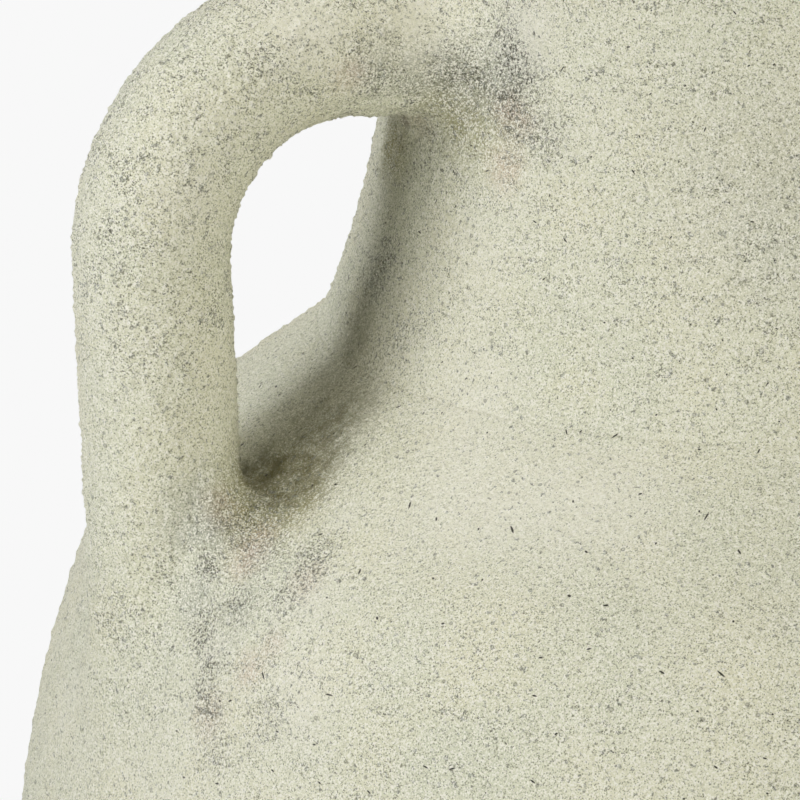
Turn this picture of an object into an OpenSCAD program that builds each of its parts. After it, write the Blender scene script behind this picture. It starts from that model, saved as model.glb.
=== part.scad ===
// Large two-handled vase of coarse fired clay. It is thrown in sections, and the
// sections, the rolled rim and the pulled handles are luted together with soft clay.
// The origin is the middle of the underside, +Z is up, and the handles lie along X.

/* [Body] */
// Diameter of the underside
foot_d = 168; // [140:1:190]
// Thickness of the floor
floor_t = 14; // [10:0.5:20]
// Rounding under the edge of the floor
foot_round_r = 4; // [2:0.5:8]
// Diameter of the body at its widest level
belly_d = 320; // [300:1:345]
// Height of the widest level
belly_z = 160; // [145:1:180]
// Exponent of the curve from the underside to the widest level, larger is fuller
lower_fullness = 1.9; // [1.6:0.05:2.4]
// Radius of the outline just above the widest level
side_r = 244; // [205:1:320]
// Radius of the bend between the side and the shoulder
bend_r = 53; // [40:1:70]
// Length of the straight shoulder between the bend and the neck's foot
shoulder_l = 37.6; // [25:0.2:45]
// How far the neck's foot stands inside the widest level
shoulder_w = 63.3; // [56:0.1:70]
// Height of the neck's foot above the widest level
shoulder_rise = 130.5; // [120:0.5:140]
// Thickness of the thrown walls
wall = 9; // [7:0.5:11]

/* [Neck] */
// How far the neck draws in from its foot to its narrowest level
waist_in = 14.5; // [10:0.1:20]
// Height of the neck's narrowest level above its foot
waist_rise = 74.5; // [65:0.5:85]
// Height of the upright collar between the narrowest level and the rim
collar_h = 9; // [6:0.5:14]

/* [Rim] */
// Radius of the hollow under the rolled lip
rim_cove_r = 24; // [18:0.5:30]
// Turn of that hollow away from upright, in degrees
rim_flare = 55; // [45:1:65]
// Thickness of the rolled lip
lip_d = 14; // [11:0.5:18]

/* [Handles] */
// Diameter of the pulled handle
handle_d = 29.5; // [24:0.5:34]
// How far the middle of the leg stands inside the widest level of the body
handle_in = 22; // [18:0.5:30]
// Lean of the leg, in degrees, inwards as it goes down
handle_lean = 2; // [0:0.5:5]
// How far the top run meets the neck below the neck's narrowest level
handle_drop = 11.2; // [8:0.2:20]
// Rise of the top run, in degrees, as it leaves the neck
handle_rise = 3.5; // [0:0.5:8]
// Share of the top run's reach that goes into the bend
handle_bend_share = 0.72; // [0.5:0.01:0.8]
// How much thicker the bar is in the bend, where its straight runs end inside it
bend_swell = 0.1; // [0.05:0.05:0.5]

/* [Luting] */
// Width of the tongue that keys two sections together
tongue_w = 3; // [2:0.5:4]
// Height of that tongue
tongue_h = 4; // [3:0.5:5]
// Film of slip round the tongue
slip_gap = 0.3; // [0.1:0.1:0.5]
// Length of the clay smeared along the handle from the neck
upper_clay_l = 12; // [9:0.5:18]
// Width that it spreads on the neck
upper_clay_w = 14; // [10:0.5:17]
// Depth to which its spread follows the round neck
upper_clay_in = 7; // [6:0.5:9]
// How far the low dome of clay round the leg's root reaches past the leg, square to it
lower_clay_w = 2.1; // [1:0.1:4]
// Height of that dome above the shoulder
lower_clay_h = 5; // [3:0.25:7]

/* [Hidden] */
$fn = 96;

// Overrun of every cut
over = 1;
// Points on each round stretch of the outline
curve_steps = 14;
// Points on the long curve below the widest level
lower_steps = 24;
// Points on the smeared clay's hollow curve, and the curve's exponent
clay_steps = 8;
clay_hollow = 1.9;
// How far the clay's thin edge is tucked under the handle's skin
clay_tuck = 0.4;

foot_r = foot_d / 2;
belly_r = belly_d / 2;
neck_foot_r = belly_r - shoulder_w;
waist_r = neck_foot_r - waist_in;
handle_r = handle_d / 2;
lip_r = lip_d / 2;
neck_foot_z = belly_z + shoulder_rise;
waist_z = neck_foot_z + waist_rise;
neck_top_z = waist_z + collar_h;

// A point of the outline is [radius, height, elevation of the outward normal, wall].
function outline_point(centre, r, angle, thick) =
    [centre[0] + r * cos(angle), centre[1] + r * sin(angle), angle, thick];

// From the ground to the widest level
function lower_point(z) = [
    foot_r + (belly_r - foot_r) * (1 - pow(1 - z / belly_z, lower_fullness)),
    z,
    -atan((belly_r - foot_r) * lower_fullness / belly_z * pow(1 - z / belly_z, lower_fullness - 1)),
    wall,
];
lower_outline = [for (i = [1 : lower_steps - 1]) lower_point(belly_z * i / lower_steps)];

// The edge of the floor is rounded between the ground and the slope of the wall.
foot_slope = lower_point(0)[2];
foot_centre = [foot_r - foot_round_r * (1 + sin(foot_slope)) / cos(foot_slope), foot_round_r];
foot_outline = [
    for (i = [0 : curve_steps])
        let (share = i / curve_steps)
        outline_point(foot_centre, foot_round_r, foot_slope * share - 90 * (1 - share), 0)
];

// The bend is tangent to the side's large arc and to the straight shoulder. So its middle
// is a knee between two links, which reach from the side's centre to the neck's foot.
side_link = side_r - bend_r;
shoulder_link = sqrt(bend_r * bend_r + shoulder_l * shoulder_l);
reach_x = side_r - shoulder_w;
reach = sqrt(reach_x * reach_x + shoulder_rise * shoulder_rise);
links_squared = side_link * side_link + shoulder_link * shoulder_link;
knee = acos((reach * reach - links_squared) / (2 * side_link * shoulder_link));
side_turn = atan2(shoulder_rise, reach_x) - asin(shoulder_link * sin(knee) / reach);
// Lean of the straight shoulder away from upright
shoulder_lean = side_turn + knee - atan2(shoulder_l, bend_r);
side_centre = [belly_r - side_r, belly_z];
bend_centre = [
    side_centre[0] + (side_r - bend_r) * cos(side_turn),
    side_centre[1] + (side_r - bend_r) * sin(side_turn),
];
side_outline = [
    for (i = [0 : curve_steps - 1]) outline_point(side_centre, side_r, side_turn * i / curve_steps, wall)
];
bend_outline = [
    for (i = [0 : curve_steps])
        let (turn = (shoulder_lean - side_turn) * i / curve_steps)
        outline_point(bend_centre, bend_r, side_turn + turn, wall)
];

// The neck is a hollow arc that is upright at the waist.
neck_r = (waist_rise * waist_rise + waist_in * waist_in) / (2 * waist_in);
neck_lean = asin(waist_rise / neck_r);
// The inside stays round where the outside has its sharp crease.
crease_outline = [
    for (i = [0 : curve_steps - 1])
        [neck_foot_r, neck_foot_z, shoulder_lean + (neck_lean - shoulder_lean) * i / curve_steps, wall]
];
neck_outline = [
    for (i = [0 : curve_steps])
        let (lean = neck_lean * (1 - i / curve_steps))
        [waist_r + neck_r * (1 - cos(lean)), waist_z - neck_r * sin(lean), lean, wall]
];

// The rim opens in a hollow curve and thickens to the lip.
rim_outline = [
    for (i = [0 : curve_steps])
        let (turn = rim_flare * i / curve_steps)
        [
            waist_r + rim_cove_r * (1 - cos(turn)),
            neck_top_z + rim_cove_r * sin(turn),
            -turn,
            wall + (lip_d - wall) * i / curve_steps,
        ]
];
rim_end = rim_outline[curve_steps];
lip_centre = [rim_end[0] - lip_r * cos(rim_flare), rim_end[1] + lip_r * sin(rim_flare)];
lip_top_z = lip_centre[1] + lip_r;
// The lip is half a circle that starts where the hollow ends.
lip_outline = [
    for (i = [1 : curve_steps - 1])
        outline_point(lip_centre, lip_r, 180 * i / curve_steps - rim_flare, 0)
];

// The stretch of the outline that has an inside, and the whole outline
backed = concat(
    lower_outline, side_outline, bend_outline, crease_outline, neck_outline, rim_outline
);
outer_points = [for (p = concat(foot_outline, backed, lip_outline)) [p[0], p[1]]];
inner_points = [
    for (i = [len(backed) - 1 : -1 : 0])
        let (p = backed[i]) [p[0] - p[3] * cos(p[2]), p[1] - p[3] * sin(p[2])]
];

// Radius of the outside and of the inside at a height
function outer_r(z) = lookup(z, [for (p = backed) [p[1], p[0]]]);
function inner_r(z) = lookup(z, [for (p = inner_points) [p[1], p[0]]]);
function tongue_mid(z) = (outer_r(z + tongue_h / 2) + inner_r(z + tongue_h / 2)) / 2;

// Middle line of a handle, in the plane of X and Z, with the corner that its bend rounds
handle_out = belly_r - handle_in;
handle_top_z = waist_z - handle_drop;
corner_x = (
    handle_out + (handle_top_z - neck_foot_z - waist_r * tan(handle_rise)) * tan(handle_lean)
) / (1 - tan(handle_rise) * tan(handle_lean));
corner_z = handle_top_z + (corner_x - waist_r) * tan(handle_rise);
handle_turn = 90 + handle_rise + handle_lean;
corner_run = (corner_x - waist_r) / cos(handle_rise);
bend_run = corner_run * handle_bend_share;
top_run = corner_run - bend_run;
leg_run = (corner_z - belly_z) / cos(handle_lean) - bend_run;
handle_bend_r = bend_run / tan(handle_turn / 2);

// Place on the shoulder where the leg's middle meets it, and the outward normal there
above_belly = concat(side_outline, bend_outline, [[neck_foot_r, neck_foot_z, shoulder_lean]]);
function shoulder_z(r) = lookup(r, [for (p = above_belly) [p[0], p[1]]]);
leg_foot_x = handle_out - (neck_foot_z - shoulder_z(handle_out)) * tan(handle_lean);
leg_foot_z = shoulder_z(leg_foot_x);
leg_foot_lean = lookup(leg_foot_x, [for (p = above_belly) [p[0], p[2]]]);
// The leg meets the shoulder at a slant, so the clay dome's foot is stretched by that.
dome_foot_r = handle_r + lower_clay_w / sin(leg_foot_lean + handle_lean);
dome_r = (dome_foot_r * dome_foot_r + lower_clay_h * lower_clay_h) / (2 * lower_clay_h);
dome_in = dome_r - lower_clay_h;

// Pale sandy wash over the clay, and the same wash where it is rubbed and stained
clay = [0.80, 0.79, 0.71];
clay_dark = [0.74, 0.72, 0.63];

// Half section of everything inside the outer skin
module skin_half() {
    polygon(concat([[0, 0]], outer_points, [[0, lip_top_z]]));
}

// The half plane between two heights
module band(z_low, z_high) {
    translate([0, z_low])
        square([belly_r + over, z_high - z_low]);
}

// The handles and their clay are cut to fit this.
module envelope() {
    rotate_extrude()
        skin_half();
}

// Ring in the middle of the wall, which keys the section above a height to the one below
module tongue(z, gap) {
    rotate_extrude()
        translate([tongue_mid(z) - tongue_w / 2 - gap, z - over])
            square([tongue_w + 2 * gap, tongue_h + over + gap]);
}

// One thrown section, grooved below and with a tongue above if another stands on it
module section_ring(z_low, z_high, keyed_above) {
    difference() {
        union() {
            rotate_extrude()
                intersection() {
                    polygon(concat(outer_points, inner_points));
                    band(z_low, z_high);
                }
            if (keyed_above)
                tongue(z_high, 0);
        }
        tongue(z_low, slip_gap);
    }
}

module foot() {
    color(clay_dark)
        union() {
            rotate_extrude()
                intersection() {
                    skin_half();
                    band(0, floor_t);
                }
            tongue(floor_t, 0);
        }
}

module lower_body() {
    color(clay)
        section_ring(floor_t, belly_z, true);
}

module shoulder() {
    color(clay)
        section_ring(belly_z, neck_foot_z, true);
}

module neck() {
    color(clay)
        section_ring(neck_foot_z, neck_top_z, true);
}

module rim() {
    color(clay)
        section_ring(neck_top_z, lip_top_z, false);
}

// Round bar along a handle's middle line, run on into the body
module handle_bar() {
    translate([corner_x, 0, corner_z]) {
        // Top run
        rotate([0, -90 - handle_rise, 0])
            translate([0, 0, bend_run - over])
                cylinder(r = handle_r, h = top_run + wall + over);
        // Bend
        rotate([90, 0, 0])
            rotate(handle_rise)
                translate([-bend_run, -handle_bend_r])
                    rotate(90 - handle_turn)
                        rotate_extrude(angle = handle_turn)
                            translate([handle_bend_r, 0])
                                circle(handle_r + bend_swell);
        // Leg
        rotate([0, 180 + handle_lean, 0])
            translate([0, 0, bend_run - over])
                cylinder(r = handle_r, h = leg_run + over);
    }
}

module handle() {
    color(clay)
        difference() {
            handle_bar();
            envelope();
        }
}

// Turned body of smeared clay with a hollow side, from the tucked thin edge to its wide end
module clay_bell(length, spread) {
    top_r = handle_r - clay_tuck;
    rotate_extrude()
        polygon(concat(
            [[0, 0]],
            [
                for (i = [0 : clay_steps])
                    let (share = i / clay_steps)
                    [top_r + (spread + clay_tuck) * pow(share, clay_hollow), length * share]
            ],
            [[0, length]]
        ));
}

module upper_luting() {
    color(clay_dark)
        difference() {
            translate([waist_r, 0, handle_top_z])
                rotate([0, -90 - handle_rise, 0])
                    translate([0, 0, -upper_clay_l])
                        clay_bell(upper_clay_l + upper_clay_in, upper_clay_w);
            handle_bar();
            envelope();
        }
}

module lower_luting() {
    color(clay_dark)
        difference() {
            translate([leg_foot_x, 0, leg_foot_z])
                rotate([0, -leg_foot_lean, 0])
                    translate([-dome_in, 0, 0])
                        sphere(dome_r);
            handle_bar();
            envelope();
        }
}

// The modules above are drawn on the right, and the left side mirrors them.
module on_left() {
    mirror([1, 0, 0])
        children();
}

foot();
lower_body();
shoulder();
neck();
rim();
on_left() handle();  // handle_left
handle();  // handle_right
on_left() upper_luting();  // upper_luting_left
upper_luting();  // upper_luting_right
on_left() lower_luting();  // lower_luting_left
lower_luting();  // lower_luting_right
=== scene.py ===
# %% [markdown]
# # A two-handled vase of coarse fired clay
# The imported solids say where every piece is, so they are loaded first and never moved. What
# they can't show is the hand-made skin: the turning lines, the sandy wash with its specks and
# pits, and the clay smeared round the roots of the handles. That is what this lesson adds.

# %% Load the solids and keep their box
import math

import bpy
import numpy as np
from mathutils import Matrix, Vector


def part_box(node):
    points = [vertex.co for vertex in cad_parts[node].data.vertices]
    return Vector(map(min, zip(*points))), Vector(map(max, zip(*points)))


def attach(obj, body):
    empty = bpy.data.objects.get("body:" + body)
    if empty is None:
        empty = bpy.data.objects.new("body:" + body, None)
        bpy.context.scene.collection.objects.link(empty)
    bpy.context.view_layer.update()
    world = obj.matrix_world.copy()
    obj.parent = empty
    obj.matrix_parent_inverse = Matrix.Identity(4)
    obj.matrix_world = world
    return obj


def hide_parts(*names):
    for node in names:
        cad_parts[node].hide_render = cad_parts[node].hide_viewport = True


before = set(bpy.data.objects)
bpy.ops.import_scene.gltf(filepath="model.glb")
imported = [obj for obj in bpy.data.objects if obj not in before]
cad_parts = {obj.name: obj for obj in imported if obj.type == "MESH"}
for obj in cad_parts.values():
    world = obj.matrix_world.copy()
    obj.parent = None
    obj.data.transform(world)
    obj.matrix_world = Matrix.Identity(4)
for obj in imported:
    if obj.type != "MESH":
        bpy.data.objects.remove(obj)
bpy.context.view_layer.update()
print("solids", sorted(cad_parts))

# %% [markdown]
# ## The camera
# The photograph is a tight close-up from a little above. Fitting a camera to the edges of the
# neck, the shoulder and the handle gave a view from one metre, 14.7 degrees above level and
# turned 23.5 degrees from the front, with a long lens. The camera comes first, so that every
# later step can be judged in it.

# %% Camera at the photograph's viewing angle
MM = 0.001
SENSOR_MM = 36.0
CAMERA_DISTANCE = 1.0
CAMERA_TURN = math.radians(-23.52)
CAMERA_RISE = math.radians(14.73)
AIM = Vector((-74.1, 32.3, 274.0)) * MM
VIEW_WIDTH = 160 * MM


def link(name, data):
    made = bpy.data.objects.new(name, data)
    bpy.context.scene.collection.objects.link(made)
    return made


def stand(thing, turned, risen, distance, aim):
    """Stands a camera or lamp round a point, turned from the front and risen, facing it."""
    where = Vector((
        math.sin(turned) * math.cos(risen), -math.cos(turned) * math.cos(risen), math.sin(risen)
    ))
    thing.location = aim + where * distance
    thing.rotation_mode = "QUATERNION"
    thing.rotation_quaternion = (-where).to_track_quat("-Z", "Y")


camera = link("camera", bpy.data.cameras.new("camera"))
stand(camera, CAMERA_TURN, CAMERA_RISE, CAMERA_DISTANCE, AIM)
camera.data.sensor_width = SENSOR_MM
camera.data.lens = SENSOR_MM * CAMERA_DISTANCE / VIEW_WIDTH
bpy.context.scene.camera = camera
print("lens", round(camera.data.lens), "mm")

# %% [markdown]
# ## The outline that the wheel turns
# A thrown vase is a surface of revolution, so one outline says nearly all of its shape. The
# joints' heights and the widest radii are read from the solids, and the arcs between them use
# the same radii as the solids do. A list of points is easier to thicken, cut and soften than
# a curve with handles is, so the outline is worked out as points half a millimetre apart.

# %% Driving sizes of the outline
WALL = 9 * MM
UNDERSIDE_R = 84 * MM
EDGE_ROUND_R = 4 * MM
LOWER_FULLNESS = 1.9
SIDE_R = 244 * MM
BEND_R = 53 * MM
SHOULDER_STRAIGHT = 37.6 * MM
WAIST_IN = 14.5 * MM
WAIST_RISE = 74.5 * MM
COVE_R = 24 * MM
RIM_FLARE = math.radians(55)
LIP_R = 7 * MM
LOWER_ROWS = 80

foot_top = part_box("lower_body")[0].z
belly_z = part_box("shoulder")[0].z
neck_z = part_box("neck")[0].z
rim_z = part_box("rim")[0].z
lip_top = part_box("rim")[1].z
belly_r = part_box("lower_body")[1].x
neck_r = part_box("neck")[1].x
waist_r = neck_r - WAIST_IN
waist_z = neck_z + WAIST_RISE
print("joints at", [round(z / MM, 1) for z in (foot_top, belly_z, neck_z, rim_z, lip_top)])


# %% Outline of the outside, from the middle of the underside up to the lip
def arc(centre, radius, start, end, count=60):
    """Points of an arc; the angle is the outward normal's elevation."""
    a = np.linspace(start, end, count)
    return np.stack([centre[0] + radius * np.cos(a), centre[1] + radius * np.sin(a)], 1)


def lower_wall(z):
    share = 1 - (1 - z / belly_z) ** LOWER_FULLNESS
    return UNDERSIDE_R + (belly_r - UNDERSIDE_R) * share


shoulder_rise = neck_z - belly_z
shoulder_in = belly_r - neck_r
side_link = SIDE_R - BEND_R
shoulder_link = math.hypot(BEND_R, SHOULDER_STRAIGHT)
reach = math.hypot(SIDE_R - shoulder_in, shoulder_rise)
knee = math.acos((reach**2 - side_link**2 - shoulder_link**2) / (2 * side_link * shoulder_link))
side_turn = math.atan2(shoulder_rise, SIDE_R - shoulder_in) - math.asin(
    shoulder_link * math.sin(knee) / reach
)
shoulder_lean = side_turn + knee - math.atan2(SHOULDER_STRAIGHT, BEND_R)
side_centre = (belly_r - SIDE_R, belly_z)
bend_centre = (
    side_centre[0] + side_link * math.cos(side_turn),
    side_centre[1] + side_link * math.sin(side_turn),
)
neck_arc_r = (WAIST_RISE**2 + WAIST_IN**2) / (2 * WAIST_IN)
neck_lean = math.asin(WAIST_RISE / neck_arc_r)

foot_slope = -math.atan((belly_r - UNDERSIDE_R) * LOWER_FULLNESS / belly_z)
edge_centre = (
    UNDERSIDE_R - EDGE_ROUND_R * (1 + math.sin(foot_slope)) / math.cos(foot_slope),
    EDGE_ROUND_R,
)
foot_edge = arc(edge_centre, EDGE_ROUND_R, -math.pi / 2, foot_slope, count=12)
lower_z = np.linspace(foot_edge[-1, 1], belly_z, LOWER_ROWS)[1:]
lower = np.stack([lower_wall(lower_z), lower_z], 1)
side = arc(side_centre, SIDE_R, 0, side_turn)[1:]
bend = arc(bend_centre, BEND_R, side_turn, shoulder_lean)[1:]
neck_curve = arc((waist_r + neck_arc_r, waist_z), neck_arc_r, math.pi + neck_lean, math.pi)
cove = arc((waist_r + COVE_R, rim_z), COVE_R, math.pi, math.pi - RIM_FLARE)
lip_centre = cove[-1] + LIP_R * np.array([-math.cos(RIM_FLARE), math.sin(RIM_FLARE)])
lip = arc(lip_centre, LIP_R, -RIM_FLARE, math.pi - RIM_FLARE, count=40)[1:]
outside = np.concatenate([foot_edge, lower, side, bend, neck_curve, cove, lip])
print("outline of", len(outside), "points, lean", round(math.degrees(shoulder_lean), 1))

# %% [markdown]
# The real turn from neck to shoulder is sharp but not a knife's edge, because a finger smoothed
# it. So the outline is laid out again in even steps and softened near that one place only. The
# inside follows at the wall's thickness, which grows in the rolled rim.

# %% Even steps, a soft crease, and the inside
STEP = 0.5 * MM
CREASE_SPREAD = 2.0 * MM
CREASE_REACH = 9 * MM
INSIDE_SPREAD = 7 * MM
SKIN_RISE = 0.6 * MM
BELLY_REACH = 45 * MM


def even(points, step=STEP):
    """The same line with its points a fixed step apart; more columns than two go along."""
    gaps = np.linalg.norm(np.diff(points[:, :2], axis=0), axis=1)
    along = np.concatenate([[0], np.cumsum(gaps)])
    at = np.linspace(0, along[-1], int(round(along[-1] / step)) + 1)
    return np.stack([np.interp(at, along, points[:, k]) for k in range(points.shape[1])], 1)


def softened(points, spread):
    """Points averaged with their neighbours along the line."""
    reach_steps = int(3 * spread / STEP)
    offsets = np.arange(-reach_steps, reach_steps + 1) * STEP
    weights = np.exp(-0.5 * (offsets / spread) ** 2)
    around = ((reach_steps, reach_steps), (0, 0))
    padded = np.pad(points, around, mode="reflect", reflect_type="odd")
    return np.stack(
        [np.convolve(padded[:, k], weights / weights.sum(), "valid") for k in (0, 1)], 1
    )


def outward(points):
    """Outward normals of a line that runs from the underside up to the lip."""
    tangent = np.gradient(points, axis=0)
    tangent /= np.linalg.norm(tangent, axis=1, keepdims=True)
    return np.stack([tangent[:, 1], -tangent[:, 0]], 1)


def near_height(points, z, reach):
    """1 at a height, falling off smoothly above and below it."""
    return np.exp(-(((points[:, 1] - z) / reach) ** 2))[:, None]


outside = even(outside)
soft = softened(outside, CREASE_SPREAD)
outside = outside + (soft - outside) * near_height(outside, neck_z, CREASE_REACH)
# The rough skin rises a little, so the widest level and the lip's top step back by as much.
outside = outside - outward(outside) * SKIN_RISE * (
    near_height(outside, belly_z, BELLY_REACH) + near_height(outside, lip_top, LIP_R)
)

wall_top = np.argmin(np.linalg.norm(outside - cove[-1], axis=1))
backed = outside[: wall_top + 1]
growth = np.clip((backed[:, 1] - rim_z) / (cove[-1, 1] - rim_z), 0, 1)[:, None]
thickness = WALL + (2 * LIP_R - WALL) * growth
inside = (backed - thickness * outward(softened(backed, INSIDE_SPREAD)))[::-1]
inside = inside[inside[:, 1] > foot_top + STEP]
floor_r = inside[-1, 0]
print("inside of", len(inside), "points, floor radius", round(floor_r / MM, 1), "mm")

# %% [markdown]
# ## Turning the outline with Geometry Nodes
# A potter turns the clay and holds the outline still. A node tree can do the same: it takes
# the outline as a line of points, lays a grid of rows and columns over it, and wraps the
# columns round the axis. A Screw modifier would turn it as well, but the tree can also roughen
# the skin in the same go, and the same roughening is then used on the handles.


# %% A helper that adds one node with its settings and links
def add(tree, kind, links=(), **settings):
    """Adds a node. links gives its inputs, by name in a dict or in order in a list, and each
    is a value, a socket, or a node that stands for its first output."""
    made = tree.nodes.new(kind)
    for name, value in settings.items():
        setattr(made, name, value)
    for key, value in links.items() if isinstance(links, dict) else enumerate(links):
        socket = made.inputs[key]
        if isinstance(value, bpy.types.Node):
            value = value.outputs[0]
        if isinstance(value, bpy.types.NodeSocket):
            tree.links.new(value, socket)
        else:
            socket.default_value = value
    return made


def new_tree(name, sockets):
    """A geometry tree with named inputs and one geometry output."""
    tree = bpy.data.node_groups.new(name, "GeometryNodeTree")
    tree.interface.new_socket("Geometry", in_out="OUTPUT", socket_type="NodeSocketGeometry")
    for socket_name, kind, value in sockets:
        item = tree.interface.new_socket(socket_name, in_out="INPUT", socket_type=kind)
        if value is not None:
            item.default_value = value
    return tree, tree.nodes.new("NodeGroupInput"), tree.nodes.new("NodeGroupOutput")


# %% [markdown]
# ## The skin of the clay
# Turning lines, lumps and grog are all small heights on the surface. Three noise patterns give
# them at their real sizes, up and down from the outline. A fourth, of thumbed-on lumps, shows
# only round the roots of the handles. Crumbs of sand stuck in the wash stand out here and there
# and make the vase's edge rough against the paper. The underside stays flat where it stands.

# %% Tree that roughens a surface
LINE_SPACING = 8 * MM
# Noise read at squeezed places is long round the vase and short up it.
LINE_SQUEEZE = (0.06, 0.06, 1.0)
LUMP_SIZE = 9 * MM
GRAIN_SIZE = 1.7 * MM
THUMB_SIZE = 4.5 * MM
CRUMB_SIZE = 0.9 * MM
CRUMB_RARITY = (0.58, 0.74)
STANDING_BAND = 3 * MM
# Middles of the two joints on the right, and how far from them the thumbed clay starts and
# where it is full
JOINT_MIDDLES = (Vector((84, 0, 353)) * MM, Vector((138, 0, 256)) * MM)
THUMBED = (42 * MM, 17 * MM)
SKIN_NAMES = ("Line depth", "Lump depth", "Grain depth", "Thumb depth", "Crumb height", "Seed")
SKIN_SOCKETS = [(name, "NodeSocketFloat", 0.0) for name in SKIN_NAMES]

skin, given, result = new_tree("clay_skin", [
    ("Geometry", "NodeSocketGeometry", None),
    ("Direction", "NodeSocketVector", None),
    *SKIN_SOCKETS,
])
place = add(skin, "GeometryNodeInputPosition")
squeezed = add(skin, "ShaderNodeVectorMath", [place, LINE_SQUEEZE], operation="MULTIPLY")
pulled = add(skin, "GeometryNodeInputNamedAttribute", {"Name": "pulled"}, data_type="FLOAT")
thrown = add(skin, "ShaderNodeMath", [1.0, pulled], operation="SUBTRACT")
mirrored = add(skin, "ShaderNodeVectorMath", [place], operation="ABSOLUTE")
near = []
for middle in JOINT_MIDDLES:
    away = add(skin, "ShaderNodeVectorMath", [mirrored, middle], operation="DISTANCE")
    near.append(add(
        skin, "ShaderNodeMapRange", [away.outputs["Value"], *THUMBED],
        interpolation_type="SMOOTHSTEP",
    ))
thumbed = add(skin, "ShaderNodeMath", near, operation="MAXIMUM")

# Where the noise is read, its size and detail, the input for its height, and where it holds
height = None
for vector, size, detail, depth, holds in (
    (squeezed, LINE_SPACING, 1.5, "Line depth", thrown),
    (place, LUMP_SIZE, 2.0, "Lump depth", None),
    (place, GRAIN_SIZE, 1.0, "Grain depth", None),
    (place, THUMB_SIZE, 1.5, "Thumb depth", thumbed),
    (place, CRUMB_SIZE, 0.0, "Crumb height", None),
):
    noise = add(skin, "ShaderNodeTexNoise", {
        "Vector": vector, "W": given.outputs["Seed"], "Scale": 1 / size, "Detail": detail,
    }, noise_dimensions="4D")
    if depth == "Crumb height":
        shape = add(skin, "ShaderNodeMapRange", [noise, *CRUMB_RARITY])
    else:
        shape = add(skin, "ShaderNodeMath", [noise, 0.5], operation="SUBTRACT")
    for factor in (given.outputs[depth], holds):
        if factor:
            shape = add(skin, "ShaderNodeMath", [shape, factor], operation="MULTIPLY")
    height = add(skin, "ShaderNodeMath", [height, shape]) if height else shape
level = add(skin, "ShaderNodeSeparateXYZ", [place])
lifted = add(
    skin, "ShaderNodeMapRange", [level.outputs["Z"], 0.0, STANDING_BAND],
    interpolation_type="SMOOTHSTEP",
)
scaled = add(skin, "ShaderNodeMath", [height, lifted], operation="MULTIPLY")
offset = add(skin, "ShaderNodeVectorMath", {
    0: given.outputs["Direction"], "Scale": scaled,
}, operation="SCALE")
moved = add(skin, "GeometryNodeSetPosition", {
    "Geometry": given.outputs["Geometry"], "Offset": offset,
})
skin.links.new(moved.outputs[0], result.inputs[0])
print("skin tree of", len(skin.nodes), "nodes")

# %% Tree that turns an outline and roughens it
CLOTHED_SOCKETS = [*SKIN_SOCKETS, ("Material", "NodeSocketMaterial", None)]
WELD = 0.01 * MM


def roughen(tree, given, geometry, direction):
    """Adds the skin group to a tree."""
    depths = {name: given.outputs[name] for name in SKIN_NAMES}
    return add(tree, "GeometryNodeGroup", {
        "Geometry": geometry, "Direction": direction, **depths,
    }, node_tree=skin)


def clothe(tree, given, result, geometry):
    """Ends a tree with a real mesh and its material."""
    real = add(tree, "GeometryNodeRealizeInstances", {"Geometry": geometry})
    clad = add(tree, "GeometryNodeSetMaterial", {
        "Geometry": real, "Material": given.outputs["Material"],
    })
    tree.links.new(clad.outputs[0], result.inputs[0])


wheel, given, result = new_tree("thrown_on_the_wheel", [
    ("Outline", "NodeSocketGeometry", None),
    ("Columns", "NodeSocketInt", 64),
    *CLOTHED_SOCKETS,
])
rows = add(
    wheel, "GeometryNodeAttributeDomainSize", [given.outputs["Outline"]], component="MESH"
)
row_count = rows.outputs["Point Count"]
columns = add(wheel, "ShaderNodeMath", [given.outputs["Columns"], 1.0], operation="ADD")
grid = add(wheel, "GeometryNodeMeshGrid", {"Vertices X": columns, "Vertices Y": row_count})
# The grid is one metre wide and centred, so its places run from -0.5 to 0.5.
split = add(wheel, "ShaderNodeSeparateXYZ", [add(wheel, "GeometryNodeInputPosition")])
last_row = add(wheel, "ShaderNodeMath", [row_count, 1.0], operation="SUBTRACT")
row, turn = (
    add(wheel, "ShaderNodeMapRange", [split.outputs[axis], -0.5, 0.5, 0.0, last])
    for axis, last in (("Y", last_row), ("X", 2 * math.pi))
)
whole_row = add(wheel, "ShaderNodeMath", [row], operation="ROUND")


def carried(value, kind):
    """A value of the outline's point in the same row, turned if it is a vector."""
    sampled = add(wheel, "GeometryNodeSampleIndex", {
        "Geometry": given.outputs["Outline"], "Value": value, "Index": whole_row,
    }, data_type=kind, domain="POINT")
    if kind == "FLOAT":
        return sampled
    return add(wheel, "ShaderNodeVectorRotate", {
        "Vector": sampled, "Angle": turn,
    }, rotation_type="Z_AXIS")


wrapped = grid
for name, kind in (("bare", "FLOAT"), ("outward", "FLOAT_VECTOR")):
    named = add(wheel, "GeometryNodeInputNamedAttribute", {"Name": name}, data_type=kind)
    wrapped = add(wheel, "GeometryNodeStoreNamedAttribute", {
        "Geometry": wrapped, "Name": name, "Value": carried(named, kind),
    }, data_type=kind, domain="POINT")
on_outline = add(wheel, "GeometryNodeInputPosition")
wrapped = add(wheel, "GeometryNodeSetPosition", {
    "Geometry": wrapped, "Position": carried(on_outline, "FLOAT_VECTOR"),
})
closed = add(wheel, "GeometryNodeMergeByDistance", {"Geometry": wrapped, "Distance": WELD})
turned_lean = add(
    wheel, "GeometryNodeInputNamedAttribute", {"Name": "outward"}, data_type="FLOAT_VECTOR"
)
clothe(wheel, given, result, roughen(wheel, given, closed, turned_lean))
print("wheel tree of", len(wheel.nodes), "nodes")

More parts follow.
